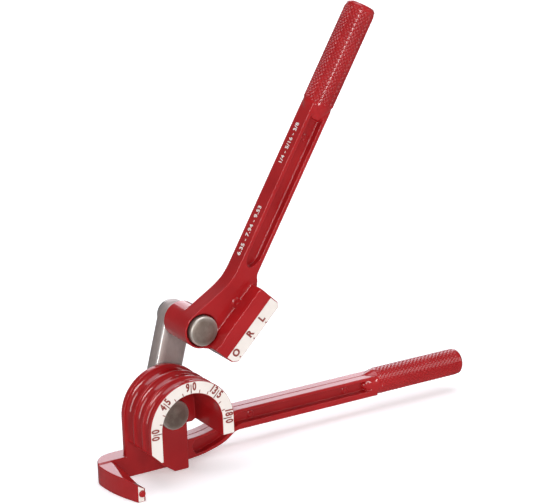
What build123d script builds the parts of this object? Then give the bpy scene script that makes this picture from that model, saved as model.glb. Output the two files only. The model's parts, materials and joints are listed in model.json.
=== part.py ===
from build123d import *
import os
from math import cos, hypot, radians, sin

os.makedirs("parts", exist_ok=True)

# Frame: X runs along the lower handle towards its grip, Z is up, Y points away
# from the scale side.  The origin is on the lower pivot axis, in the plane of
# the rear face of the mandrel flange.

# ---- driving dimensions (mm) ----
TUBES = (9.53, 7.94, 6.35)   # tube sizes, rear groove first
CREST_R = 24.0               # radius of the crests between the grooves
INNER_R = 17.2               # inside radius of the hollow mandrel
FLANGE_T = 3.2               # flange behind the rear groove
CREST_W = 1.6                # crest between two grooves
FRONT_RIM = 2.1              # rim in front of the last groove
SHOE_GAP = 0.4               # working gap between mandrel crests and shoe face
SHOE_FACE = 23.3             # upper pivot axis to shoe face
ZERO_MARK = 1.5              # zero mark ahead of the upper pivot, along the shoe
LINK_W = 15.9
LINK_T = 9.6
LINK_EDGE = 1.1              # bevel round the link
LINK_ANGLE = 74.5            # link direction as posed, above the lower handle
SHOE_ANGLE = 45.2            # tube direction of the shoe as posed
HANDLE_SKEW = 14.0           # upper handle leans back from the tube direction
PIN_R = 4.5
PIN_HEAD_R = 7.8
HEAD_T_LOWER = 3.2           # head of the lower pin, proud of the post
HEAD_T_UPPER = 5.0           # head of the upper pin, sunk in its boss
HEAD_EDGE = 0.8              # bevel round the pin heads
PIN_TAIL = 1.2               # pin beyond its spring clip
CLIP_T = 0.8
CLIP_DEPTH = 0.6             # groove that holds the spring clip
CLIP_RIM = 2.2               # clip outside the pin
RUN_FIT = 0.05               # radial clearance of the pins in the castings
BODY_GAP = 0.3               # gap between faces of different moving bodies
WASHER_T = 0.8
ARM_T = 10.8                 # thickness of both handle arms
ARM_H = 11.3                 # height of the lower arm
ARM_W = 12.2                 # width of the upper arm
FLANGE_TOP = 1.7             # upper flange of the lower arm's I-section
FLANGE_LOW = 3.3             # lower flange of the lower arm's I-section
FLANGE_SIDE = 2.2            # flanges of the upper arm's I-section
WEB_T = 3.0                  # web of the I-section arms
NECK_END = 46.0              # where the lower arm becomes straight
FAN_END = 38.0               # where the upper arm becomes straight
LOW_GRIP_R = 7.0
LOW_GRIP_END = 186.9         # end of the lower grip from the lower pivot
UP_GRIP_R = 7.7
UP_GRIP_END = 183.6          # end of the upper grip from the upper pivot
GRIP_LEN = 56.0
LIMB_BOTTOM = -32.3          # underside of the lower casting
LIMB_TOP = -20.9             # top of the limb that carries the hook
LIMB_REAR = 7.3
HOOK_OUT = -40.2             # outer side of the hook
HOOK_TIP_W = 5.0             # width of the hook's front end
HOOK_REACH = 3.2             # hook end ahead of the mandrel's front rim
LIMB_CORNER = 13.0           # radius of the limb's rear corner
WEB_DROP = 1.2               # flange below the right leg, beside the post
NECK_FLANGE = 1.7            # lower flange where the neck leaves the post
TUBE_PLAY = 0.55             # widest tube to hook
LABEL_T = 0.25
STUD_R = 1.75                # round stud on the hook's end
STUD_UP = 4.5                # stud centre above the underside
HOOK_STEP = 0.6              # the hook's top lies this much below the limb's
HOOK_SLOPE = 0.65            # fall of the hook's inner top, for each mm inwards

# ---- sizes that follow ----
TUBE_AXIS_R = CREST_R + SHOE_GAP / 2
LINK_L = hypot(CREST_R + SHOE_GAP + SHOE_FACE, ZERO_MARK)
GROOVE_Y = []
edge = -FLANGE_T
for size in TUBES:
    GROOVE_Y.append(edge - size / 2)
    edge -= size + CREST_W
DRUM_FRONT = edge + CREST_W - FRONT_RIM
POST_R = PIN_HEAD_R + 0.2
POST_FRONT = -11.2
POST_ROUND = 1.4
LEFT_LEG = -15.8
RIGHT_LEG = -9.0
LEG_CUT = 5.3
LINK_Y0 = BODY_GAP + WASHER_T
LINK_Y1 = LINK_Y0 + LINK_T
BORE_R = PIN_R + RUN_FIT
ARM_FRONT = -1.8
ARM_REAR = ARM_FRONT + ARM_T
ARM_TOP = -10.7
ARM_BOTTOM = ARM_TOP - ARM_H
LOW_GRIP_LIFT = 0.85         # grip axis above the arm's centre line
LOW_GRIP_Z = ARM_TOP - ARM_H / 2 + LOW_GRIP_LIFT
LOW_GRIP_Y = ARM_FRONT + ARM_T / 2
HOOK_IN = -(TUBE_AXIS_R + TUBES[0] / 2 + TUBE_PLAY)
HOOK_END = DRUM_FRONT - HOOK_REACH
HOOK_MID = HOOK_IN - HOOK_TIP_W / 2
HOOK_TOP = LIMB_TOP - HOOK_STEP
SLOPE_FRONT = HOOK_IN - 6.7  # where the slope would meet the hook's top, at its end

UP_X = LINK_L * cos(radians(LINK_ANGLE))
UP_Z = LINK_L * sin(radians(LINK_ANGLE))
HANDLE_ANGLE = SHOE_ANGLE + HANDLE_SKEW
BOSS_R = PIN_HEAD_R + 1.8
HEAD_POCKET_R = PIN_HEAD_R + 0.8
UP_FRONT = -23.3             # front face of the upper arm and boss
UP_REAR = UP_FRONT + ARM_T - 0.4
POCKET_FLOOR = UP_FRONT + 2.6
ARM_LEFT = -4.5              # upper arm edges, left of the line through the pivot
ARM_RIGHT = ARM_LEFT - ARM_W
UP_GRIP_LIFT = 0.1           # grip axis left of the arm's centre line
UP_GRIP_OFF = (ARM_LEFT + ARM_RIGHT) / 2 + UP_GRIP_LIFT
UP_GRIP_Y = (UP_FRONT + UP_REAR) / 2
SHOE_T0 = -4.5               # near end of the shoe, along the tube direction
SHOE_T1 = 34.0
SHOE_N0 = 8.0                # step wall of the raised shoe block
SHOE_REAR = ARM_FRONT - 0.4
SHOE_FRONT = DRUM_FRONT
SHOE_TUBE_N = SHOE_FACE + SHOE_GAP / 2
CLIP_Y0 = LINK_Y1 + WASHER_T
PIN_END = CLIP_Y0 + CLIP_T + PIN_TAIL


def side(y):
    """Sketch plane seen from the scale side: local x is X, local y is Z."""
    return Plane.XZ.offset(-y)


def at_upper(angle, y):
    """Sketch plane on the upper pivot with local x turned to the given angle."""
    a = radians(angle)
    return Plane(origin=(UP_X, y, UP_Z), x_dir=(cos(a), 0, sin(a)), z_dir=(0, -1, 0))


def shoe_point(t, n):
    """Point t along the shoe and n towards the tube, as handle coordinates."""
    s = radians(HANDLE_SKEW)
    return (t * cos(s) - n * sin(s), -t * sin(s) - n * cos(s))


# ================= lower casting =================
def neck_and_arm():
    """Curved neck below the mandrel and the straight arm, as one bar."""
    run = LOW_GRIP_END - GRIP_LEN
    start = POST_R / 2
    bow = NECK_END - start
    rise = ARM_TOP - LIMB_TOP
    drop = ARM_BOTTOM - LIMB_BOTTOM
    top = [(start + bow * along, LIMB_TOP + rise * up)
           for along, up in ((0, 0), (0.22, 0.05), (0.56, 0.24), (0.73, 0.56), (0.88, 0.95), (1, 1))]
    low = [(start + bow * along, LIMB_BOTTOM + drop * up)
           for along, up in ((1, 1), (0.89, 0.94), (0.81, 0.72), (0.66, 0.41), (0.51, 0.24), (0.37, 0.13),
                             (0.19, 0.06), (0, 0))]
    with BuildPart() as p:
        with BuildSketch(side(ARM_REAR)):
            with BuildLine():
                Spline(*top, tangents=[(1, 0.06), (1, 0)])
                Line(top[-1], (run, ARM_TOP))
                Line((run, ARM_TOP), (run, ARM_BOTTOM))
                Line((run, ARM_BOTTOM), low[0])
                Spline(*low, tangents=[(-1, 0), (-1, -0.04)])
                Line(low[-1], top[0])
            make_face()
        extrude(amount=ARM_T)
    return p.part


def arm_pocket(y_from, depth):
    """Recess that leaves the flanges of the I-section."""
    run = LOW_GRIP_END - GRIP_LEN - 6.0
    high, low = ARM_TOP - FLANGE_TOP, ARM_BOTTOM + FLANGE_LOW
    neck = LIMB_TOP - 0.5
    foot = LIMB_BOTTOM + NECK_FLANGE + 1.2
    bow = NECK_END - 18.0
    up = [(18.0 + bow * along, neck + (high - neck) * rise)
          for along, rise in ((0, 0), (0.34, 0.12), (0.62, 0.42), (0.84, 0.83), (1, 1))]
    down = [(18.0 + bow * along, foot + (low - foot) * rise)
            for along, rise in ((1, 1), (0.84, 0.88), (0.69, 0.61), (0.47, 0.30), (0.26, 0.13), (0, 0))]
    with BuildPart() as p:
        with BuildSketch(side(y_from)):
            with BuildLine():
                Spline(*up, tangents=[(1, 0.05), (1, 0)])
                Line(up[-1], (run, high))
                ThreePointArc((run, high), (run + 3.4, (high + low) / 2), (run, low))
                Line((run, low), down[0])
                Spline(*down, tangents=[(-1, 0), (-1, -0.05)])
                ThreePointArc(down[-1], (15.6, (neck + foot) / 2), up[0])
            make_face()
        extrude(amount=depth)
    return p.part


def horseshoe(y, thick, r_out, r_in, left, right, cut):
    """Horseshoe plate from y towards the scale side: half ring with two legs."""
    with BuildPart() as p:
        with BuildSketch(side(y)):
            with BuildLine():
                ThreePointArc((-r_out, 0), (0, r_out), (r_out, 0))
                Line((r_out, 0), (r_out, right))
                Line((r_out, right), (r_in, right))
                Line((r_in, right), (r_in, 0))
                ThreePointArc((r_in, 0), (0, r_in), (-r_in, 0))
                Line((-r_in, 0), (-r_in, left))
                Line((-r_in, left), (-r_out + cut, left))
                Line((-r_out + cut, left), (-r_out, left + cut))
                Line((-r_out, left + cut), (-r_out, 0))
            make_face()
        extrude(amount=thick)
    return p.part


def mandrel_drum():
    root = -FLANGE_T + 0.4
    ring = horseshoe(root, root - DRUM_FRONT, CREST_R, INNER_R, LEFT_LEG, RIGHT_LEG, LEG_CUT)
    with BuildPart() as p:
        add(ring)
        for size, y in zip(TUBES, GROOVE_Y):
            with BuildSketch(Plane.XY):
                with Locations((TUBE_AXIS_R, y)):
                    Circle(size / 2)
            revolve(axis=Axis((0, 0, 0), (0, -1, 0)), revolution_arc=180, mode=Mode.SUBTRACT)
            with BuildSketch(Plane.XY):
                with Locations((TUBE_AXIS_R, y), (-TUBE_AXIS_R, y)):
                    Circle(size / 2)
            extrude(amount=LEFT_LEG - 2.0, mode=Mode.SUBTRACT)
    return p.part


def flange_and_post():
    with BuildPart() as p:
        with BuildSketch(side(0)):
            with BuildLine():
                ThreePointArc((-CREST_R, 0), (0, CREST_R), (CREST_R, 0))
                Line((CREST_R, 0), (CREST_R, RIGHT_LEG))
                Polyline((CREST_R, RIGHT_LEG), (INNER_R, RIGHT_LEG), (INNER_R - 2.0, RIGHT_LEG - WEB_DROP),
                         (POST_R, RIGHT_LEG - WEB_DROP), (POST_R, LIMB_BOTTOM))
                Line((POST_R, LIMB_BOTTOM), (-CREST_R, LIMB_BOTTOM))
                Line((-CREST_R, LIMB_BOTTOM), (-CREST_R, 0))
            make_face()
        extrude(amount=FLANGE_T)
        with BuildSketch(side(-FLANGE_T + 0.5)):
            with BuildLine():
                ThreePointArc((-POST_R, 0), (0, POST_R), (POST_R, 0))
                Line((POST_R, 0), (POST_R, LIMB_BOTTOM))
                Line((POST_R, LIMB_BOTTOM), (0.4, LIMB_BOTTOM))
                Line((0.4, LIMB_BOTTOM), (-POST_R, LIMB_BOTTOM + 6.2))
                Line((-POST_R, LIMB_BOTTOM + 6.2), (-POST_R, 0))
            make_face()
        extrude(amount=-FLANGE_T + 0.5 - POST_FRONT)
        low_front = p.edges().filter_by(Axis.X).filter_by_position(
            Axis.Y, POST_FRONT - 0.1, POST_FRONT + 0.1).sort_by(Axis.Z)[0]
        fillet(low_front, POST_ROUND)
    return p.part


def limb_and_hook():
    """Limb behind the flange, and the hook that reaches forward past the tubes."""
    tip = HOOK_IN - HOOK_TIP_W
    bend = LIMB_REAR - LIMB_CORNER

    def outer(forward, inward):
        return (HOOK_OUT + inward * (tip - HOOK_OUT), bend + forward * (HOOK_END - bend))

    with BuildPart() as p:
        with BuildSketch(Plane.XY.offset(LIMB_BOTTOM)):
            with BuildLine():
                Line((POST_R, LIMB_REAR), (HOOK_OUT + LIMB_CORNER, LIMB_REAR))
                RadiusArc((HOOK_OUT + LIMB_CORNER, LIMB_REAR), (HOOK_OUT, bend), -LIMB_CORNER)
                Spline(outer(0, 0), outer(0.28, 0.07), outer(0.68, 0.46), outer(1, 1),
                       tangents=[(0, -1), (0.35, -1)])
                Polyline((tip, HOOK_END), (HOOK_IN - 1.0, HOOK_END), (HOOK_IN, HOOK_END + 1.2),
                         (HOOK_IN, -FLANGE_T), (POST_R, -FLANGE_T), (POST_R, LIMB_REAR))
            make_face()
        extrude(amount=LIMB_TOP - LIMB_BOTTOM)
        with BuildSketch(Plane.XY.offset(HOOK_TOP)):
            with Locations((HOOK_OUT, HOOK_END - 1.0)):
                Rectangle(HOOK_IN - HOOK_OUT + 1.0, -FLANGE_T - HOOK_END + 1.0, align=(Align.MIN, Align.MIN))
        extrude(amount=HOOK_STEP + 1.0, mode=Mode.SUBTRACT)
        with BuildSketch(Plane.XY.offset(HOOK_TOP + 0.01)):
            with BuildLine():
                Polyline((HOOK_IN - 2.9, -FLANGE_T), (HOOK_IN - 7.5, DRUM_FRONT + 6.0),
                         (SLOPE_FRONT, HOOK_END - 1.0), (HOOK_IN + 2.0, HOOK_END - 1.0),
                         (HOOK_IN + 2.0, -FLANGE_T), close=True)
            make_face()
        extrude(amount=12.0, dir=(1, 0, -HOOK_SLOPE), mode=Mode.SUBTRACT)
        with BuildSketch(Plane.XZ.offset(-HOOK_END - 0.5)):
            with Locations((HOOK_MID, LIMB_BOTTOM + STUD_UP)):
                Circle(STUD_R)
        extrude(amount=1.5)
    return p.part


def round_grip(end, length, radius, run_out):
    """Grip along local Z, with the flats of the arm running out into it."""
    with BuildPart() as p:
        with BuildSketch(Plane.XY.offset(end - length)):
            Circle(radius)
        extrude(amount=length)
        tip = p.edges().filter_by(GeomType.CIRCLE).sort_by(Axis.Z)[-1]
        chamfer(tip, 1.2)
        with BuildSketch(Plane.XY.offset(end - length - run_out)):
            Circle(radius * 0.62)
        with BuildSketch(Plane.XY.offset(end - length + 0.01)):
            Circle(radius)
        loft()
    return p.part


def build_lower_casting():
    grip = round_grip(LOW_GRIP_END, GRIP_LEN, LOW_GRIP_R, 7.0)
    turn = Location(Plane(origin=(0, LOW_GRIP_Y, LOW_GRIP_Z), x_dir=(0, 1, 0), z_dir=(1, 0, 0)))
    web_half = (ARM_T - WEB_T) / 2
    drum = mandrel_drum()
    flange = flange_and_post()
    limb = limb_and_hook()
    arm = neck_and_arm()
    front_pocket = arm_pocket(ARM_FRONT + web_half, web_half + 1.0)
    rear_pocket = arm_pocket(ARM_REAR + 1.0, web_half + 1.0)
    with BuildPart() as p:
        add(arm)
        add(front_pocket, mode=Mode.SUBTRACT)
        add(rear_pocket, mode=Mode.SUBTRACT)
        add(turn * grip)
        add(limb)
        add(flange)
        add(drum)
        with BuildSketch(side(LIMB_REAR + 5.0)):
            Circle(BORE_R)
        extrude(amount=LIMB_REAR + 5.0 - POST_FRONT + 1.0, mode=Mode.SUBTRACT)
    return p


# ================= upper casting =================
def fan_and_arm():
    """Fan between boss and shoe and the straight arm, as one bar."""
    run = UP_GRIP_END - GRIP_LEN
    far = shoe_point(SHOE_T1 - 0.6, SHOE_N0 + 6.0)
    deep = shoe_point(SHOE_T1 - 4.0, SHOE_N0 + 9.0)
    mid = shoe_point(SHOE_T0 + 3.0, SHOE_N0 + 9.0)
    near = shoe_point(SHOE_T0, SHOE_N0 + 3.0)
    touch = radians(61.4)
    fall = BOSS_R * sin(touch) - ARM_LEFT
    left = [(BOSS_R * cos(touch), BOSS_R * sin(touch)), (FAN_END * 0.455, ARM_LEFT + fall * 0.47),
            (FAN_END * 0.69, ARM_LEFT + fall * 0.13), (FAN_END, ARM_LEFT)]
    with BuildPart() as p:
        with BuildSketch(at_upper(HANDLE_ANGLE, UP_REAR)):
            with BuildLine():
                Spline(*left, tangents=[(0.88, -0.48), (1, 0)])
                Line(left[-1], (run, ARM_LEFT))
                Line((run, ARM_LEFT), (run, ARM_RIGHT))
                Line((run, ARM_RIGHT), (FAN_END, ARM_RIGHT))
                Spline((FAN_END, ARM_RIGHT), (FAN_END - 4.6, ARM_RIGHT - 2.0), far,
                       tangents=[(-1, 0), (-0.25, -1)])
                Polyline(far, deep, mid, near, (-BOSS_R, 0), (0, 0), left[0])
            make_face()
        extrude(amount=UP_REAR - UP_FRONT)
    return p.part


def upper_pocket(y_from, depth):
    """Recess of the upper arm's I-section, with round ends."""
    end = UP_GRIP_END - GRIP_LEN - 6.5
    high, low = ARM_LEFT - FLANGE_SIDE, ARM_RIGHT + FLANGE_SIDE
    middle = (high + low) / 2
    with BuildPart() as p:
        with BuildSketch(at_upper(HANDLE_ANGLE, y_from)):
            with BuildLine():
                Line((FAN_END + 7.0, high), (end, high))
                ThreePointArc((end, high), (end + 3.4, middle), (end, low))
                Line((end, low), (FAN_END + 7.0, low))
                Spline((FAN_END + 7.0, low), (FAN_END + 2.6, middle - 2.2), (FAN_END + 0.6, middle),
                       (FAN_END + 2.2, middle + 2.6), (FAN_END + 7.0, high), tangents=[(-1, 0.1), (1, 0.1)])
            make_face()
        extrude(amount=depth)
    return p.part


def shoe_block():
    with BuildPart() as p:
        with BuildSketch(at_upper(SHOE_ANGLE, SHOE_REAR)):
            with BuildLine():
                Polyline((SHOE_T0, -SHOE_N0), (SHOE_T0 + 0.6, -SHOE_FACE + 3.0),
                         (SHOE_T0 + 3.2, -SHOE_FACE), (SHOE_T1 - 1.0, -SHOE_FACE),
                         (SHOE_T1 + 0.6, -SHOE_FACE + 2.2), (SHOE_T1 + 0.5, -SHOE_N0), close=True)
            make_face()
        extrude(amount=SHOE_REAR - SHOE_FRONT)
        for size, y in zip(TUBES, GROOVE_Y):
            a = radians(SHOE_ANGLE)
            start = SHOE_T0 - 4.0
            axis_x = UP_X + start * cos(a) + SHOE_TUBE_N * sin(a)
            axis_z = UP_Z + start * sin(a) - SHOE_TUBE_N * cos(a)
            bar = Plane(origin=(axis_x, y, axis_z), x_dir=(0, 1, 0), z_dir=(cos(a), 0, sin(a)))
            with BuildSketch(bar):
                Circle(size / 2)
            extrude(amount=SHOE_T1 - SHOE_T0 + 8.0, mode=Mode.SUBTRACT)
    return p.part


def build_upper_casting():
    a = radians(HANDLE_ANGLE)
    grip = round_grip(UP_GRIP_END, GRIP_LEN, UP_GRIP_R, 7.0)
    foot = (UP_X - UP_GRIP_OFF * sin(a), UP_GRIP_Y, UP_Z + UP_GRIP_OFF * cos(a))
    turn = Location(Plane(origin=foot, x_dir=(0, 1, 0), z_dir=(cos(a), 0, sin(a))))
    web_half = (UP_REAR - UP_FRONT - WEB_T) / 2
    arm = fan_and_arm()
    shoe = shoe_block()
    front_pocket = upper_pocket(UP_FRONT + web_half, web_half + 1.0)
    rear_pocket = upper_pocket(UP_REAR + 1.0, web_half + 1.0)
    with BuildPart() as p:
        add(arm)
        add(front_pocket, mode=Mode.SUBTRACT)
        add(rear_pocket, mode=Mode.SUBTRACT)
        add(turn * grip)
        add(shoe)
        with BuildSketch(at_upper(HANDLE_ANGLE, 0)):
            Circle(BOSS_R)
        extrude(amount=-UP_FRONT)
        with BuildSketch(at_upper(HANDLE_ANGLE, 1.0)):
            Circle(BORE_R)
        extrude(amount=2.0 - UP_FRONT, mode=Mode.SUBTRACT)
        with BuildSketch(at_upper(HANDLE_ANGLE, POCKET_FLOOR)):
            Circle(HEAD_POCKET_R)
        extrude(amount=12.0, mode=Mode.SUBTRACT)
    return p


# ================= link and pins =================
def link_plane(y):
    a = radians(LINK_ANGLE)
    return Plane(origin=(0, y, 0), x_dir=(cos(a), 0, sin(a)), z_dir=(0, -1, 0))


def build_link():
    with BuildPart() as p:
        with BuildSketch(link_plane(LINK_Y1)):
            with Locations((LINK_L / 2, 0)):
                SlotCenterToCenter(LINK_L, LINK_W)
        extrude(amount=LINK_T)
        chamfer(p.faces().filter_by(Axis.Y).edges(), LINK_EDGE)
        with BuildSketch(link_plane(LINK_Y1)):
            with Locations((0, 0), (LINK_L, 0)):
                Circle(PIN_R)
        extrude(amount=LINK_T, mode=Mode.SUBTRACT)
    return p


def build_pin(x, z, head_rear, head_t):
    """Headed pin that runs in a casting and is pressed through the link."""
    with BuildPart() as p:
        with BuildSketch(Plane.XZ.offset(-head_rear)):
            with Locations((x, z)):
                Circle(PIN_HEAD_R)
        extrude(amount=head_t)
        rim = p.edges().filter_by(GeomType.CIRCLE).sort_by(Axis.Y)[0]
        chamfer(rim, HEAD_EDGE)
        with BuildSketch(Plane.XZ.offset(-PIN_END)):
            with Locations((x, z)):
                Circle(PIN_R)
        extrude(amount=PIN_END - head_rear)
        end = p.edges().filter_by(GeomType.CIRCLE).sort_by(Axis.Y)[-1]
        chamfer(end, PIN_TAIL / 2)
        with BuildSketch(Plane.XZ.offset(-CLIP_Y0 - CLIP_T)):
            with Locations((x, z)):
                Circle(PIN_R + 1.0)
                Circle(PIN_R - CLIP_DEPTH, mode=Mode.SUBTRACT)
        extrude(amount=CLIP_T, mode=Mode.SUBTRACT)
    return p


def washer_pair(y, outer):
    """One washer on each pin, starting at y and reaching rearwards."""
    with BuildPart() as p:
        with BuildSketch(Plane.XZ.offset(-y - WASHER_T)):
            with Locations((0, 0), (UP_X, UP_Z)):
                Circle(outer)
                Circle(BORE_R, mode=Mode.SUBTRACT)
        extrude(amount=WASHER_T)
    return p


def build_rings():
    """Spring clips in the pin grooves, open below, behind the link."""
    seat = PIN_R - CLIP_DEPTH
    mouth = 2 * (seat - 0.6)
    drop = PIN_R + 1.0
    with BuildPart() as p:
        with BuildSketch(Plane.XZ.offset(-CLIP_Y0 - CLIP_T)):
            with Locations((0, 0), (UP_X, UP_Z)):
                Circle(PIN_R + CLIP_RIM)
                Circle(seat, mode=Mode.SUBTRACT)
            with Locations((0, -drop), (UP_X, UP_Z - drop)):
                Rectangle(mouth, 2 * PIN_R, mode=Mode.SUBTRACT)
        extrude(amount=CLIP_T)
    return p


# ================= printed labels =================
def build_degree_scale():
    """Degree label on the mandrel's front face."""
    margin = 0.35
    plate = horseshoe(DRUM_FRONT, LABEL_T, CREST_R - margin, INNER_R + margin,
                      LEFT_LEG + margin, RIGHT_LEG + margin, LEG_CUT - 0.2)
    with BuildPart() as p:
        add(plate)
    return p


def build_shoe_scale():
    """Strip along the shoe's face edge, with its two lower corners cut."""
    top = -SHOE_FACE + 7.2
    foot = -SHOE_FACE + 0.5
    with BuildPart() as p:
        with BuildSketch(at_upper(SHOE_ANGLE, SHOE_FRONT)):
            with BuildLine():
                Polyline((SHOE_T0 + 0.9, top), (SHOE_T0 + 1.2, foot + 2.7), (SHOE_T0 + 3.6, foot),
                         (SHOE_T1 - 1.2, foot), (SHOE_T1 + 0.1, foot + 1.9), (SHOE_T1 - 0.1, top), close=True)
            make_face()
        extrude(amount=LABEL_T)
    return p


def build_hook_label():
    """Label over the hook's end, under its slope and round the stud."""
    margin = 0.45
    left = HOOK_IN - HOOK_TIP_W + margin
    right = HOOK_IN - 1.0 - margin
    low = LIMB_BOTTOM + margin

    def under_slope(x):
        return HOOK_TOP - HOOK_SLOPE * (x - SLOPE_FRONT) - margin

    with BuildPart() as p:
        with BuildSketch(Plane.XZ.offset(-HOOK_END)):
            with BuildLine():
                Polyline((left, low), (right, low), (right, under_slope(right)),
                         (left, under_slope(left)), close=True)
            make_face()
            with Locations((HOOK_MID, LIMB_BOTTOM + STUD_UP)):
                Circle(STUD_R + 0.05, mode=Mode.SUBTRACT)
        extrude(amount=LABEL_T)
    return p


mandrel_handle = build_lower_casting()
mandrel_handle.part.label = "mandrel_handle"
export_step(mandrel_handle.part, "parts/mandrel_handle.step")

forming_handle = build_upper_casting()
forming_handle.part.label = "forming_handle"
export_step(forming_handle.part, "parts/forming_handle.step")

link_bar = build_link()
link_bar.part.label = "link_bar"
export_step(link_bar.part, "parts/link_bar.step")

pivot_pin_lower = build_pin(0, 0, POST_FRONT - BODY_GAP, HEAD_T_LOWER)
pivot_pin_lower.part.label = "pivot_pin_lower"
export_step(pivot_pin_lower.part, "parts/pivot_pin_lower.step")

pivot_pin_upper = build_pin(UP_X, UP_Z, POCKET_FLOOR - BODY_GAP, HEAD_T_UPPER)
pivot_pin_upper.part.label = "pivot_pin_upper"
export_step(pivot_pin_upper.part, "parts/pivot_pin_upper.step")

thrust_washers = washer_pair(BODY_GAP, LINK_W / 2 - 0.6)
thrust_washers.part.label = "thrust_washers"
export_step(thrust_washers.part, "parts/thrust_washers.step")

back_washers = washer_pair(LINK_Y1, PIN_R + 2.9)
back_washers.part.label = "back_washers"
export_step(back_washers.part, "parts/back_washers.step")

retaining_rings = build_rings()
retaining_rings.part.label = "retaining_rings"
export_step(retaining_rings.part, "parts/retaining_rings.step")

degree_scale = build_degree_scale()
degree_scale.part.label = "degree_scale"
export_step(degree_scale.part, "parts/degree_scale.step")

shoe_scale = build_shoe_scale()
shoe_scale.part.label = "shoe_scale"
export_step(shoe_scale.part, "parts/shoe_scale.step")

hook_label = build_hook_label()
hook_label.part.label = "hook_label"
export_step(hook_label.part, "parts/hook_label.step")
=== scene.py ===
"""Looks of a hand lever tube bender: enamelled castings, steel link and pins, printed scales."""
import json
import math

import bmesh
import bpy
from mathutils import Matrix, Vector
from mathutils.bvhtree import BVHTree


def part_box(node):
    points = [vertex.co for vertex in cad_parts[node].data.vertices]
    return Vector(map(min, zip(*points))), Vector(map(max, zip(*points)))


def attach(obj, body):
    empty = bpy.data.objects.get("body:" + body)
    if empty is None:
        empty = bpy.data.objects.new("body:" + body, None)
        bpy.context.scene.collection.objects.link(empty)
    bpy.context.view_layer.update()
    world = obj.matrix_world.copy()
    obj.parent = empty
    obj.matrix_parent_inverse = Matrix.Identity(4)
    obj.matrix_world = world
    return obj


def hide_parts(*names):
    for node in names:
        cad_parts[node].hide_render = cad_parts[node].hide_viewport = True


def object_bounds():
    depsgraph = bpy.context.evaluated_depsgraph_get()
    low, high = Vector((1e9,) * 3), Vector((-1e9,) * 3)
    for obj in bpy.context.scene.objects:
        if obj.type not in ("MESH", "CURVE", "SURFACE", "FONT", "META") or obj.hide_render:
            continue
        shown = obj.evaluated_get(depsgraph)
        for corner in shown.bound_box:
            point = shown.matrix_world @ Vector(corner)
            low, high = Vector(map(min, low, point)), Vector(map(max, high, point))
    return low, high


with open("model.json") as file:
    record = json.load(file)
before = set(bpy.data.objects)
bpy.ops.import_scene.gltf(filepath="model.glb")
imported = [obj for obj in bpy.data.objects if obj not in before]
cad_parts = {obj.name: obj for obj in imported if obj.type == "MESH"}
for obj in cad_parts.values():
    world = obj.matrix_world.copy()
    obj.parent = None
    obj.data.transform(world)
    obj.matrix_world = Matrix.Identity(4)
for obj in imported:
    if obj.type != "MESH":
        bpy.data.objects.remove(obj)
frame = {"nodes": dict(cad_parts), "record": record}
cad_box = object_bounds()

MM = 0.001
RECORD = frame["record"]
MOUNTS = {mount["name"]: mount for mount in RECORD["mounts"]}
JOINTS = {joint["name"]: joint for joint in RECORD["behaviour"]["joints"]}

UPPER_PIVOT = Vector(JOINTS["forming_handle_swing"]["pos_m"])
HANDLE_DIR = Vector(MOUNTS["upper_grip"]["axis"])
SHOE_DIR = Vector(MOUNTS["shoe_groove_rear"]["axis"])
FRONT = Vector((0, -1, 0))
UP = Vector((0, 0, 1))
ALONG = Vector((1, 0, 0))
HANDLE_LEFT = FRONT.cross(HANDLE_DIR)    # across the upper arm, to its upper left
TOWARDS_TUBE = SHOE_DIR.cross(FRONT)     # out of the shoe's grooves

WEB = 3.0 * MM               # thickness of the web in both I-section arms
ARM_LEFT = -4.5 * MM         # left side of the upper arm, across from the line through its pivot
ARM_MIDDLE = -10.6 * MM      # middle of the upper arm, across from the same line
PRINT_DEPTH = 0.06 * MM      # thickness of the printed ink
CAPITAL = 0.72               # height of a capital letter in a font of size 1


# ---------------------------------------------------------------- places
def place(origin, x_dir, y_dir):
    """Matrix that puts local X and Y along the two directions, at origin."""
    x_dir, y_dir = Vector(x_dir).normalized(), Vector(y_dir).normalized()
    turn = Matrix((x_dir, y_dir, x_dir.cross(y_dir))).transposed()
    return Matrix.Translation(origin) @ turn.to_4x4()


def on_handle(along, across, y):
    """Point on the upper handle: along it and to its upper left, from the upper pivot."""
    return Vector((0, y, 0)) + UPPER_PIVOT + HANDLE_DIR * along + HANDLE_LEFT * across


def on_shoe(along, down, y):
    """Point on the shoe: along its grooves and down towards the tube, from the upper pivot."""
    return Vector((0, y, 0)) + UPPER_PIVOT + SHOE_DIR * along + TOWARDS_TUBE * down


# ---------------------------------------------------------------- node arithmetic
class Value:
    """A number socket that takes Python arithmetic; every step adds a Math node."""

    def __init__(self, tree, socket):
        self.tree = tree
        self.socket = socket

    def step(self, operation, *values):
        """Result of one Math node on these values."""
        node = self.tree.nodes.new("ShaderNodeMath")
        node.operation = operation
        for slot, value in zip(node.inputs, values):
            feed(self.tree, slot, value)
        return Value(self.tree, node.outputs[0])

    def __add__(self, other):
        return self.step("ADD", self, other)

    def __radd__(self, other):
        return self.step("ADD", other, self)

    def __sub__(self, other):
        return self.step("SUBTRACT", self, other)

    def __rsub__(self, other):
        return self.step("SUBTRACT", other, self)

    def __mul__(self, other):
        return self.step("MULTIPLY", self, other)

    def __rmul__(self, other):
        return self.step("MULTIPLY", other, self)

    def __truediv__(self, other):
        return self.step("DIVIDE", self, other)

    def sine(self):
        return self.step("SINE", self)

    def cosine(self):
        return self.step("COSINE", self)

    def fraction(self):
        return self.step("FRACT", self)

    def size(self):
        """The value without its sign."""
        return self.step("ABSOLUTE", self)

    def at_most(self, other):
        return self.step("MINIMUM", self, other)

    def at_least(self, other):
        return self.step("MAXIMUM", self, other)

    def unit(self):
        """The value held between 0 and 1."""
        return self.at_most(1.0).at_least(0.0)

    def above(self, start, end):
        """Rises from 0 at start to 1 at end."""
        return ((self - start) / (end - start)).unit()


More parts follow.
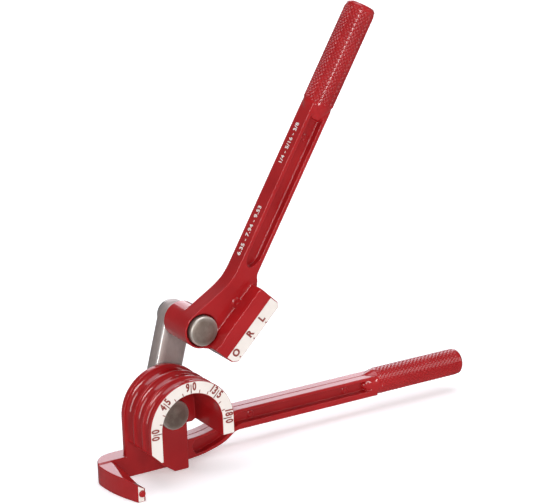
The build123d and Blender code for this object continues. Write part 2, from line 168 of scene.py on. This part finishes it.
def feed(tree, slot, value):
    """Links a socket, or sets it where the value is plain."""
    if isinstance(value, Value):
        value = value.socket
    if isinstance(value, bpy.types.NodeSocket):
        tree.links.new(value, slot)
    else:
        slot.default_value = value


class Nodes:
    """A node tree being made."""

    def __init__(self, tree):
        self.tree = tree

    def add(self, kind, settings=None, **sockets):
        """Adds a node: its settings first, then its sockets by name or by _number."""
        node = self.tree.nodes.new(kind)
        for name, value in (settings or {}).items():
            setattr(node, name, value)
        for name, value in sockets.items():
            key = int(name[1:]) if name[1:].isdigit() else name.replace("_", " ")
            feed(self.tree, node.inputs[key], value)
        return node

    def value(self, socket):
        """Number socket, ready for arithmetic."""
        return Value(self.tree, socket)


class Finish(Nodes):
    """A material being made: a Principled shader and the nodes that feed it."""

    def __init__(self, name, **constants):
        self.material = bpy.data.materials.new(name)
        self.material.use_nodes = True
        super().__init__(self.material.node_tree)
        self.shader = self.tree.nodes["Principled BSDF"]
        for socket, value in constants.items():
            self.shader.inputs[socket.replace("_", " ")].default_value = value
        self.point = self.add("ShaderNodeTexCoord").outputs["Object"]

    def vector(self, operation, *values):
        """Vector Math node on these vectors."""
        sockets = {f"_{number}": value for number, value in enumerate(values)}
        return self.add("ShaderNodeVectorMath", {"operation": operation}, **sockets)

    def noise(self, scale, detail=3.0, roughness=0.5, stretch=(1, 1, 1)):
        """Noise between 0 and 1, with scale in features a metre."""
        where = self.add("ShaderNodeMapping", Vector=self.point, Scale=stretch).outputs[0]
        cloud = self.add("ShaderNodeTexNoise", Vector=where, Scale=scale, Detail=detail, Roughness=roughness)
        return self.value(cloud.outputs[0])

    def mix(self, factor, low, high):
        """Colour between low and high, which are sockets 6 and 7 of a colour Mix node."""
        both = self.add("ShaderNodeMix", {"data_type": "RGBA"}, _0=factor, _6=low, _7=high)
        return both.outputs[2]

    def bump(self, height, depth, normal=None):
        """Normal of a height of 0 to 1 that stands depth metres high."""
        under = {"Normal": normal} if normal else {}
        return self.add("ShaderNodeBump", Height=height, Distance=depth, Strength=1.0, **under).outputs[0]

    def face(self):
        """Direction that the surface faces."""
        return self.add("ShaderNodeNewGeometry").outputs["Normal"]

    def on_bevels(self):
        """Near 1 on bevels, whose faces lie between the front and the sides."""
        facing = self.add("ShaderNodeSeparateXYZ", Vector=self.face())
        frontal = self.value(facing.outputs["Y"]).size()
        return frontal.above(0.3, 0.45) * (1.0 - frontal.above(0.85, 0.95))

    def end(self, **sockets):
        """The material, once what varies feeds these sockets of its shader."""
        for name, value in sockets.items():
            feed(self.tree, self.shader.inputs[name.replace("_", " ")], value)
        return self.material


def colour(red, green, blue):
    return (red, green, blue, 1.0)


# ---------------------------------------------------------------- finishes
def red_enamel():
    """Glossy stoved enamel over a die casting: orange peel, mottling and thin paint on the edges."""
    f = Finish("red_enamel", IOR=1.45, Specular_IOR_Level=0.2, Coat_Roughness=0.035, Coat_IOR=1.5)
    deep, bright = colour(0.31, 0.005, 0.007), colour(0.39, 0.009, 0.011)
    thin_paint = colour(0.62, 0.06, 0.05)
    cloud = f.noise(45, detail=4)
    fine = f.noise(420, detail=2)
    round_edge = f.add("ShaderNodeBevel", {"samples": 6}, Radius=0.45 * MM).outputs[0]
    turned = f.value(f.vector("DOT_PRODUCT", round_edge, f.face()).outputs["Value"])
    edge = (1.0 - turned).above(0.01, 0.2)
    body = f.mix(cloud.above(0.3, 0.7), deep, bright)
    body = f.mix((edge * fine.above(0.35, 0.65)) * 0.5, body, thin_paint)
    peel = f.noise(700, detail=1, roughness=0.4)
    normal = f.bump(peel, 0.012 * MM, normal=round_edge)
    rough = 0.26 + cloud * 0.12 + fine * 0.06
    return f.end(Base_Color=body, Roughness=rough, Coat_Weight=0.75 + cloud * 0.25, Normal=normal)


def ground_steel():
    """Flat bar, ground along its length and dull plated, with a painted highlight on its bevels."""
    f = Finish("ground_steel", Metallic=0.55)
    dark, light = colour(0.40, 0.325, 0.30), colour(0.49, 0.41, 0.385)
    # the second colour here is the painted highlight laid on the bevels
    scratch, bevel_highlight_colour = colour(0.62, 0.55, 0.52), colour(0.74, 0.70, 0.67)
    grain = f.noise(900, detail=4, roughness=0.7, stretch=(1, 1, 0.25))
    cloud = f.noise(60, detail=3)
    speck = f.noise(1800, detail=2)
    bevel = f.on_bevels()
    body = f.mix(cloud.above(0.3, 0.7), dark, light)
    body = f.mix(grain.above(0.35, 0.7) * 0.35, body, scratch)
    # painted highlight: the bevels take a lighter colour that stands in for the glint along them; their
    # lower roughness below is real gloss
    body = f.mix(bevel, body, bevel_highlight_colour)
    normal = f.bump(grain * 0.7 + speck * 0.3, 0.012 * MM)
    rough = (0.36 + cloud * 0.16 + grain * 0.08) * (1.0 - bevel * 0.4)
    return f.end(Base_Color=body, Roughness=rough, Normal=normal)


def turned_steel(name, centre):
    """Pin head, faced on a lathe about centre and dull plated, with a painted highlight on its bevel."""
    f = Finish(name, Metallic=0.5)
    dark, light = colour(0.165, 0.118, 0.093), colour(0.235, 0.178, 0.148)
    # the second colour here is the painted highlight laid on the bevel
    patch, bevel_highlight_colour = colour(0.33, 0.27, 0.23), colour(0.62, 0.56, 0.50)
    turning_mark = 14000         # radians of the ring pattern for each metre of radius
    moved = f.vector("SUBTRACT", f.point, centre).outputs[0]
    flat = f.vector("MULTIPLY", moved, (1, 0, 1)).outputs[0]
    radius = f.value(f.vector("LENGTH", flat).outputs["Value"])
    cloud = f.noise(220, detail=4, roughness=0.65)
    stain = f.noise(90, detail=3)
    bevel = f.on_bevels()
    ring = (radius * turning_mark + cloud * 5).sine() * 0.5 + 0.5
    body = f.mix(stain.above(0.3, 0.7), dark, light)
    body = f.mix(cloud.above(0.45, 0.75) * 0.6, body, patch)
    # painted highlight: the bevel takes a lighter colour that stands in for the glint round the rim
    body = f.mix(bevel * 0.8, body, bevel_highlight_colour)
    normal = f.bump(ring * 0.6 + cloud * 0.4, 0.006 * MM)
    return f.end(Base_Color=body, Roughness=(0.38 + cloud * 0.2) * (1.0 - bevel * 0.4), Normal=normal)


def zinc_plate():
    """Bright plating of the washers, clouded by handling."""
    f = Finish("zinc_plate", Metallic=1.0)
    cloud = f.noise(300, detail=4, roughness=0.6)
    body = f.mix(cloud.above(0.3, 0.7), colour(0.48, 0.47, 0.44), colour(0.62, 0.61, 0.58))
    return f.end(Base_Color=body, Roughness=0.3 + cloud * 0.2, Normal=f.bump(cloud, 0.004 * MM))


def black_spring_steel():
    """Blackened clips, worn to bare steel in places."""
    f = Finish("black_spring_steel", Metallic=1.0)
    cloud = f.noise(500, detail=4, roughness=0.6)
    body = f.mix(cloud.above(0.45, 0.8), colour(0.03, 0.028, 0.027), colour(0.16, 0.15, 0.14))
    return f.end(Base_Color=body, Roughness=0.4 + cloud * 0.2, Normal=f.bump(cloud, 0.004 * MM))


def label_film():
    """Off-white printed film, slightly yellowed and handled."""
    f = Finish("label_film", IOR=1.48)
    dark, light, dust = colour(0.71, 0.64, 0.585), colour(0.77, 0.71, 0.655), colour(0.62, 0.55, 0.49)
    cloud = f.noise(70, detail=4)
    grain = f.noise(1500, detail=2)
    body = f.mix(cloud.above(0.3, 0.75), dark, light)
    body = f.mix(grain.above(0.55, 0.8) * 0.2, body, dust)
    return f.end(Base_Color=body, Roughness=0.38 + cloud * 0.15, Normal=f.bump(grain, 0.004 * MM))


def printed_ink(name, dark, light):
    """Ink that is a little thinner in places."""
    f = Finish(name)
    grain = f.noise(1600, detail=3)
    body = f.mix(grain.above(0.35, 0.75), dark, light)
    return f.end(Base_Color=body, Roughness=0.42 + grain * 0.15, Normal=f.bump(grain, 0.004 * MM))


def studio_floor():
    """Plain pale paper that glows a little, so that the floor is as bright as the background."""
    f = Finish("studio_floor", IOR=1.3, Emission_Color=colour(1.0, 1.0, 1.0), Emission_Strength=0.34)
    cloud = f.noise(1.2, detail=2)
    body = f.mix(cloud, colour(0.90, 0.90, 0.90), colour(0.93, 0.93, 0.93))
    return f.end(Base_Color=body, Roughness=0.7 + cloud * 0.1)


ENAMEL = red_enamel()
LINK_STEEL = ground_steel()
ZINC = zinc_plate()
SPRING = black_spring_steel()
FILM = label_film()
RED_INK = printed_ink("red_brown_ink", colour(0.20, 0.026, 0.020), colour(0.32, 0.052, 0.040))
WHITE_INK = printed_ink("white_ink", colour(0.70, 0.66, 0.62), colour(0.86, 0.84, 0.80))


# ---------------------------------------------------------------- meshes
def in_scene(name, data):
    """New object at the origin that shows this mesh, curve, light or camera."""
    thing = bpy.data.objects.new(name, data)
    bpy.context.scene.collection.objects.link(thing)
    return thing


def shown(name, mesh, material, body, slot):
    """Makes a mesh a piece that rides on a body."""
    mesh.materials.clear()
    mesh.materials.append(material)
    piece = in_scene(name, mesh)
    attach(piece, body)
    return piece


def body_and_slot(node):
    """The moving body that a CAD node belongs to, and its material slot."""
    body = next(name for name, nodes in RECORD["behaviour"]["bodies"].items() if node in nodes)
    slot = next(part["material_slot"] for part in RECORD["subparts"] if part["node"] == node)
    return body, slot


def meshed(work, name):
    """Plain mesh of a finished bmesh."""
    mesh = bpy.data.meshes.new(name)
    work.to_mesh(mesh)
    work.free()
    return mesh


def joined(name, meshes):
    """One mesh of several."""
    work = bmesh.new()
    for mesh in meshes:
        work.from_mesh(mesh)
        bpy.data.meshes.remove(mesh)
    return meshed(work, name)


def frozen(piece):
    """The evaluated object as a plain mesh; the object itself goes."""
    graph = bpy.context.evaluated_depsgraph_get()
    mesh = bpy.data.meshes.new_from_object(piece.evaluated_get(graph))
    bpy.data.objects.remove(piece)
    return mesh


def smooth(mesh, angle):
    """Shades a mesh smooth, except where faces meet at more than angle degrees."""
    mesh.shade_smooth()
    mesh.set_sharp_from_angle(angle=math.radians(angle))


def merged_copy(node):
    """Copy of a CAD node's mesh with its loose triangles joined up."""
    work = bmesh.new()
    work.from_mesh(frame["nodes"][node].data)
    bmesh.ops.remove_doubles(work, verts=work.verts, dist=0.002 * MM)
    return meshed(work, node + "_copy")


def cast_skin(node):
    """A casting with soft edges and corners, made from the CAD node's own shape."""
    work = in_scene(node + "_work", merged_copy(node))
    skin = work.modifiers.new("skin", "REMESH")
    skin.mode = "VOXEL"
    skin.voxel_size = 0.27 * MM
    soft = work.modifiers.new("soft", "SMOOTH")
    soft.factor = 0.5
    soft.iterations = 5
    thin = work.modifiers.new("thin", "DECIMATE")
    thin.ratio = 0.2
    mesh = frozen(work)
    mesh.shade_smooth()
    piece = shown(node + "_casting", mesh, ENAMEL, *body_and_slot(node))
    level = piece.modifiers.new("flat_faces", "WEIGHTED_NORMAL")
    level.weight = 70
    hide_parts(node)


def dress(node, material):
    """Smooth copy of a CAD node in its own finish."""
    mesh = merged_copy(node)
    smooth(mesh, 32)
    piece = shown(node + "_finished", mesh, material, *body_and_slot(node))
    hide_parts(node)


def lathed(profile, steps, where):
    """Solid of revolution about local Z; the profile runs from the axis to the axis."""
    work = bmesh.new()
    turns = [2 * math.pi * step / steps for step in range(steps)]
    rings = []
    for radius, height in profile:
        spots = [(radius * math.cos(turn), radius * math.sin(turn), height) for turn in turns]
        rings.append([work.verts.new(spot) for spot in (spots if radius else spots[:1])])
    for inner, outer in zip(rings, rings[1:]):
        for step in range(steps):
            after = (step + 1) % steps
            corners = [inner[step % len(inner)], outer[step % len(outer)],
                       outer[after % len(outer)], inner[after % len(inner)]]
            work.faces.new(list(dict.fromkeys(corners)))
    bmesh.ops.recalc_face_normals(work, faces=work.faces)
    mesh = meshed(work, "lathed")
    mesh.transform(where)
    smooth(mesh, 40)
    return mesh


def lettering(text, height, where, width, align="CENTER", spacing=1.0, stroke=0.1 * MM):
    """Raised print of a text on local XY, with capitals of this height and strokes this much bolder."""
    curve = bpy.data.curves.new("lettering", "FONT")
    curve.body = text
    curve.size = height / CAPITAL
    curve.align_x = align
    curve.align_y = "CENTER"
    curve.space_character = spacing
    curve.extrude = PRINT_DEPTH
    curve.offset = stroke
    curve.resolution_u = 4
    mesh = frozen(in_scene("lettering", curve))
    mesh.transform(where @ Matrix.Diagonal((width, 1, 1, 1)))
    return mesh


# ---------------------------------------------------------------- geometry trees
class Growth(Nodes):
    """A geometry node tree being made, with named inputs."""

    def __init__(self, name):
        super().__init__(bpy.data.node_groups.new(name, "GeometryNodeTree"))
        self.tree.interface.new_socket("Geometry", in_out="OUTPUT", socket_type="NodeSocketGeometry")
        self.start = self.tree.nodes.new("NodeGroupInput")
        self.finish = self.tree.nodes.new("NodeGroupOutput")

    def input(self, name, kind="NodeSocketFloat"):
        self.tree.interface.new_socket(name, in_out="INPUT", socket_type=kind)
        return self.value(self.start.outputs[name])

    def end(self, geometry, material):
        """Closes the tree with real geometry in this material."""
        real = self.add("GeometryNodeRealizeInstances", Geometry=geometry)
        done = self.add("GeometryNodeSetMaterial", Geometry=real.outputs[0], Material=material)
        feed(self.tree, self.finish.inputs[0], done.outputs[0])
        return self.tree


def grown(tree, **inputs):
    """Mesh that a geometry tree makes with these inputs."""
    work = in_scene(tree.name, bpy.data.meshes.new(tree.name))
    modifier = work.modifiers.new(tree.name, "NODES")
    modifier.node_group = tree
    for item in tree.interface.items_tree:
        if item.in_out == "INPUT" and item.name in inputs:
            modifier[item.identifier] = inputs[item.name]
    return frozen(work)


def knurl_tree():
    """Sleeve with crossed helical grooves that leave rows of diamonds, about local Z."""
    t = Growth("knurl")
    radius, length, depth = t.input("Radius"), t.input("Length"), t.input("Depth")
    around, rows = t.input("Around"), t.input("Rows")
    material = t.input("Material", "NodeSocketMaterial")
    fineness = 6.0               # mesh edges across one diamond, either way
    flat_top, steep_end = 1.8, 1.2
    groove, end_drop = 0.25, 0.6
    tube = t.add("GeometryNodeMeshCylinder", _0=around * fineness, _1=rows * fineness,
                 Radius=radius, Depth=length)
    spot = t.add("ShaderNodeSeparateXYZ", Vector=t.add("GeometryNodeInputPosition").outputs[0])
    x, y, z = (t.value(socket) for socket in spot.outputs)
    turn = y.step("ARCTAN2", y, x) / (2 * math.pi) * around
    rise = (z / length + 0.5) * rows
    right = 1.0 - ((turn + rise).fraction() - 0.5).size() * 2.0
    left = 1.0 - ((turn - rise).fraction() - 0.5).size() * 2.0
    inside = (rise.at_most(rows - rise) * steep_end).unit()
    diamond = (right.at_most(left) * flat_top).unit()
    lift = ((diamond - groove) * inside - (1.0 - inside) * end_drop) * depth
    grow = 1.0 + lift / radius
    moved = t.add("ShaderNodeCombineXYZ", X=x * grow, Y=y * grow, Z=z)
    shaped = t.add("GeometryNodeSetPosition", Geometry=tube.outputs["Mesh"], Position=moved.outputs[0])
    return t.end(shaped.outputs[0], material.socket)


def tick_tree():
    """Bars standing round an arc in the local XY plane, one every Step radians from local X."""
    t = Growth("ticks")
    count, step = t.input("Count", "NodeSocketInt"), t.input("Step")
    radius, length, width = t.input("Radius"), t.input("Length"), t.input("Width")
    depth = t.input("Depth")
    material = t.input("Material", "NodeSocketMaterial")
    size = t.add("ShaderNodeCombineXYZ", X=length, Y=width, Z=depth)
    bar = t.add("GeometryNodeMeshCube", Size=size.outputs[0])
    line = t.add("GeometryNodeMeshLine", Count=count)
    angle = t.value(t.add("GeometryNodeInputIndex").outputs[0]) * step
    middle = radius + length * 0.5
    spot = t.add("ShaderNodeCombineXYZ", X=angle.cosine() * middle, Y=angle.sine() * middle)
    points = t.add("GeometryNodeSetPosition", Geometry=line.outputs[0], Position=spot.outputs[0])
    turn = t.add("ShaderNodeCombineXYZ", Z=angle)
    bars = t.add("GeometryNodeInstanceOnPoints", Points=points.outputs[0], Instance=bar.outputs[0],
                 Rotation=turn.outputs[0])
    return t.end(bars.outputs[0], material.socket)


# ---------------------------------------------------------------- pieces
def steel_parts():
    """Link, pins, washers and clips."""
    dress("link_bar", LINK_STEEL)
    dress("pivot_pin_lower", turned_steel("lower_pin_steel", Vector((0, 0, 0))))
    dress("pivot_pin_upper", turned_steel("upper_pin_steel", UPPER_PIVOT))
    dress("thrust_washers", ZINC)
    dress("back_washers", ZINC)
    dress("retaining_rings", SPRING)


def knurled_grips():
    """Sleeves of diamonds over both grips, deeper on the upper one."""
    tree = knurl_tree()
    bare_end = 0.4 * MM          # how much shorter the knurl is than its grip
    shift = 0.6 * MM             # knurl's middle from the grip's middle, towards the arm
    rows = 22.0
    for name, body, around, depth in (("upper_grip", "forming_body", 24.0, 0.5 * MM),
                                      ("lower_grip", "lower_body", 22.0, 0.36 * MM)):
        mount = MOUNTS[name]
        axis = Vector(mount["axis"])
        radius = mount["dims"]["r_mm"] * MM
        length = mount["dims"]["length_mm"] * MM - bare_end
        mesh = grown(tree, Radius=radius, Length=length, Depth=depth, Around=around,
                     Rows=rows, Material=ENAMEL)
        mesh.transform(place(Vector(mount["pos_m"]) - axis * shift, FRONT, axis.cross(FRONT)))
        smooth(mesh, 25)
        shown(name + "_knurl", mesh, ENAMEL, body, "red_paint")


def moulding_marks():
    """Round pads of the die's ejector pins, and the swell where the lower recess ends."""
    pad = [(radius * MM, height * MM) for radius, height in       # dished, with a raised rim
           ((0, 0.18), (0.9, 0.2), (1.2, 0.42), (1.5, 0.42), (2.1, 0.02), (2.1, -0.3), (0, -0.3))]
    large_pad = [(radius * 1.4, height * 1.4) for radius, height in pad]
    lower_web = MOUNTS["lower_grip"]["pos_m"][1] - WEB / 2
    upper_web = MOUNTS["upper_grip"]["pos_m"][1] - WEB / 2
    fan_front = -23.3 * MM       # front of the fan between the upper arm and its shoe
    pad_z = -16.2 * MM           # a little above the middle of the lower arm
    swell_x, swell_z = 126.4 * MM, -15.6 * MM
    swell_radius, swell_height, stretch = 3.0 * MM, 3.3 * MM, 1.45
    lower = [lathed(pad, 32, place((x, lower_web, pad_z), ALONG, UP)) for x in (53 * MM, 112 * MM)]
    turns = [math.radians(9 * step) for step in range(10)]
    dome = [(swell_radius * math.cos(turn), swell_height * math.sin(turn)) for turn in turns]
    swell = [(0, dome[-1][1])] + dome[-2::-1] + [(0, 0)]
    swell_at = place((swell_x, lower_web, swell_z), ALONG, UP)
    lower.append(lathed(swell, 32, swell_at @ Matrix.Diagonal((stretch, 1, 1, 1))))
    shown("lower_moulding_marks", joined("lower_marks", lower), ENAMEL, "lower_body", "red_paint")
    on_arm, on_fan = on_handle(110 * MM, ARM_MIDDLE, upper_web), on_handle(19.4 * MM, -12.1 * MM, fan_front)
    upper = [lathed(pad, 32, place(on_arm, HANDLE_DIR, HANDLE_LEFT)),
             lathed(large_pad, 32, place(on_fan, HANDLE_DIR, HANDLE_LEFT))]
    shown("upper_moulding_marks", joined("upper_marks", upper), ENAMEL, "forming_body", "red_paint")


def parting_line():
    """Low ridge where the die halves met, along the top of the lower arm and its neck."""
    start, end = 12 * MM, 128 * MM       # from beside the mandrel to where the knurl starts
    steps = 60
    half_width, height = 0.35 * MM, 0.18 * MM
    section = ((-1, -1), (-0.4, 1), (0.4, 1), (1, -1))   # across and up, in half widths and heights
    middle = MOUNTS["lower_grip"]["pos_m"][1]
    casting = frame["nodes"]["mandrel_handle"].data
    surface = BVHTree.FromPolygons([corner.co for corner in casting.vertices],
                                   [list(face.vertices) for face in casting.polygons])
    work = bmesh.new()
    rows = []
    for step in range(steps + 1):
        x = start + (end - start) * step / steps
        spot = surface.ray_cast(Vector((x, middle, 0)), -UP)[0]
        rows.append([work.verts.new(spot + Vector((0, across * half_width, rise * height)))
                     for across, rise in section])
    for before, after in zip(rows, rows[1:]):
        for side in range(len(section)):
            follow = (side + 1) % len(section)
            work.faces.new((before[side], before[follow], after[follow], after[side]))
    for end_row in (rows[0], rows[-1]):
        work.faces.new(end_row)
    bmesh.ops.recalc_face_normals(work, faces=work.faces)
    mesh = meshed(work, "parting_line")
    smooth(mesh, 30)
    shown("parting_line", mesh, ENAMEL, "lower_body", "red_paint")


def degree_marks():
    """Ticks every 15 degrees and numbers every 45, split by their own tick."""
    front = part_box("degree_scale")[0].y
    inner, outer = 17.7 * MM, 23.5 * MM      # edges of the printed scale
    number_out = 0.35 * MM                   # numbers sit this much outside its middle
    number_gap = 0.85 * MM                   # from the tick to the figures beside it
    facing = place((0, front, 0), ALONG, UP)
    tree = tick_tree()
    marks = []
    for count, spacing, length, width in ((5, 45, 4.8 * MM, 0.5 * MM), (13, 15, 1.6 * MM, 0.46 * MM)):
        ticks = grown(tree, Count=count, Step=math.radians(spacing), Radius=inner, Length=length,
                      Width=width, Depth=PRINT_DEPTH * 2, Material=RED_INK)
        ticks.transform(facing)
        marks.append(ticks)
    for degrees, before, after in ((0, "0", "0"), (45, "4", "5"), (90, "9", "0"),
                                   (135, "13", "5"), (180, "18", "0")):
        turn = math.radians(degrees)
        outward = Vector((-math.cos(turn), 0, math.sin(turn)))
        clockwise = Vector((math.sin(turn), 0, math.cos(turn)))
        middle = Vector((0, front, 0)) + outward * ((inner + outer) / 2 + number_out)
        for text, side, align in ((before, -1, "RIGHT"), (after, 1, "LEFT")):
            where = place(middle + clockwise * side * number_gap, clockwise, outward)
            marks.append(lettering(text, 4.2 * MM, where, width=0.72, align=align, stroke=0.24 * MM))
    shown("degree_marks", joined("degree_marks", marks), RED_INK, "lower_body", "white_label")


def shoe_marks():
    """Letters L, R and O with their index dots on the shoe's strip."""
    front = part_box("shoe_scale")[0].y
    dot_radius = 0.42 * MM
    dot = ((0, PRINT_DEPTH), (dot_radius, PRINT_DEPTH), (dot_radius, -PRINT_DEPTH), (0, -PRINT_DEPTH))
    letters = {"L": ((22.8, 19.0), (22.7, 22.3)),    # where the letter and its dot are, in mm:
               "R": ((13.0, 18.7), (12.6, 22.2)),    # along the shoe and down from the upper pivot
               "O": ((1.2, 18.7), (0.9, 21.9))}
    marks = []
    for text, spots in letters.items():
        letter_at, dot_at = (place(on_shoe(along * MM, down * MM, front), SHOE_DIR, -TOWARDS_TUBE)
                             for along, down in spots)
        marks.append(lettering(text, 3.8 * MM, letter_at, width=0.95, stroke=0.25 * MM))
        marks.append(lathed(dot, 16, dot_at))
    shown("shoe_marks", joined("shoe_marks", marks), RED_INK, "forming_body", "white_label")


def handle_print():
    """Tube sizes printed along the side of the upper arm."""
    middle = -18.2 * MM          # of the arm's left side, front to back
    texts = []
    for text, start, height in (("6.35 - 7.94 - 9.53", 42 * MM, 3.0 * MM),
                                ("1/4 - 5/16 - 3/8", 93 * MM, 2.8 * MM)):
        where = place(on_handle(start, ARM_LEFT, middle), HANDLE_DIR, -FRONT)
        texts.append(lettering(text, height, where, width=0.85, align="LEFT", spacing=1.1))
    shown("handle_print", joined("handle_print", texts), WHITE_INK, "forming_body", "white_label")


# ---------------------------------------------------------------- studio
def softbox(name, where, width, height, power, aim=(0.07, 0.0, 0.06), tint=(1, 1, 1)):
    """Rectangular lamp that faces aim; without one, the middle of the tool."""
    light = bpy.data.lights.new(name, "AREA")
    light.shape = "RECTANGLE"
    light.size = width
    light.size_y = height
    light.energy = power
    light.color = tint
    lamp = in_scene(name, light)
    lamp.location = where
    lamp.rotation_euler = (Vector(aim) - Vector(where)).to_track_quat("-Z", "Y").to_euler()


def pale_floor():
    """Large floor that the tool stands on."""
    half = 6.0
    low = cad_box[0].z
    corners = [(-half, -half, low), (half, -half, low), (half, half, low), (-half, half, low)]
    mesh = bpy.data.meshes.new("floor")
    mesh.from_pydata(corners, [], [(0, 1, 2, 3)])
    mesh.materials.append(studio_floor())
    floor = in_scene("floor", mesh)
    floor.visible_glossy = False


def sky():
    """Faint even light from all round, a little stronger from below the horizon."""
    all_round, from_below = 0.13, 0.05
    world = bpy.data.worlds.new("studio")
    world.use_nodes = True
    nodes = Nodes(world.node_tree)
    ray = nodes.add("ShaderNodeTexCoord").outputs["Generated"]
    height = nodes.value(nodes.add("ShaderNodeSeparateXYZ", Vector=ray).outputs["Z"])
    below = (0.0 - height).above(-0.02, 0.1)
    background = nodes.tree.nodes["Background"]
    background.inputs["Color"].default_value = colour(1.0, 1.0, 1.0)
    feed(nodes.tree, background.inputs["Strength"], all_round + below * from_below)
    bpy.context.scene.world = world


def studio():
    """Floor, sky and soft lamps."""
    cool = (0.93, 0.93, 1.0)
    pale_floor()
    sky()
    softbox("top_softbox", (0.05, -0.1, 1.3), width=1.3, height=1.3, power=15, tint=cool)
    softbox("back_softbox", (0.75, 1.15, 0.55), width=1.3, height=0.8, power=8, tint=cool)
    softbox("left_softbox", (-0.95, -0.7, 0.26), width=0.26, height=0.9, power=5)
    softbox("right_softbox", (0.8, -0.8, 0.6), width=0.25, height=0.9, power=2)
    softbox("front_softbox", (-0.22, -1.1, 0.34), width=0.2, height=0.5, power=4, aim=(0.14, 0.0, 0.15))
    bpy.context.scene.view_settings.view_transform = "Standard"


def camera():
    """Long lens on the scale side, from the left and a little above."""
    azimuth, elevation, roll = math.radians(-30.21), math.radians(17.33), math.radians(-1.95)
    aim = Vector((0.0665, -0.0116, 0.0744))
    distance = 1.2
    back = Vector((math.sin(azimuth) * math.cos(elevation), -math.cos(azimuth) * math.cos(elevation),
                   math.sin(elevation)))
    view = bpy.data.cameras.new("camera")
    view.lens = 149.5
    view.sensor_width = 36.0
    eye = in_scene("camera", view)
    eye.location = aim + back * distance
    look = (-back).to_track_quat("-Z", "Y").to_matrix().to_4x4() @ Matrix.Rotation(roll, 4, "Z")
    eye.rotation_mode = "QUATERNION"
    eye.rotation_quaternion = look.to_quaternion()
    bpy.context.scene.camera = eye


camera()
studio()
for casting in ("mandrel_handle", "forming_handle"):
    cast_skin(casting)
steel_parts()
knurled_grips()
moulding_marks()
parting_line()
for film in ("degree_scale", "shoe_scale", "hook_label"):
    dress(film, FILM)
degree_marks()
shoe_marks()
handle_print()
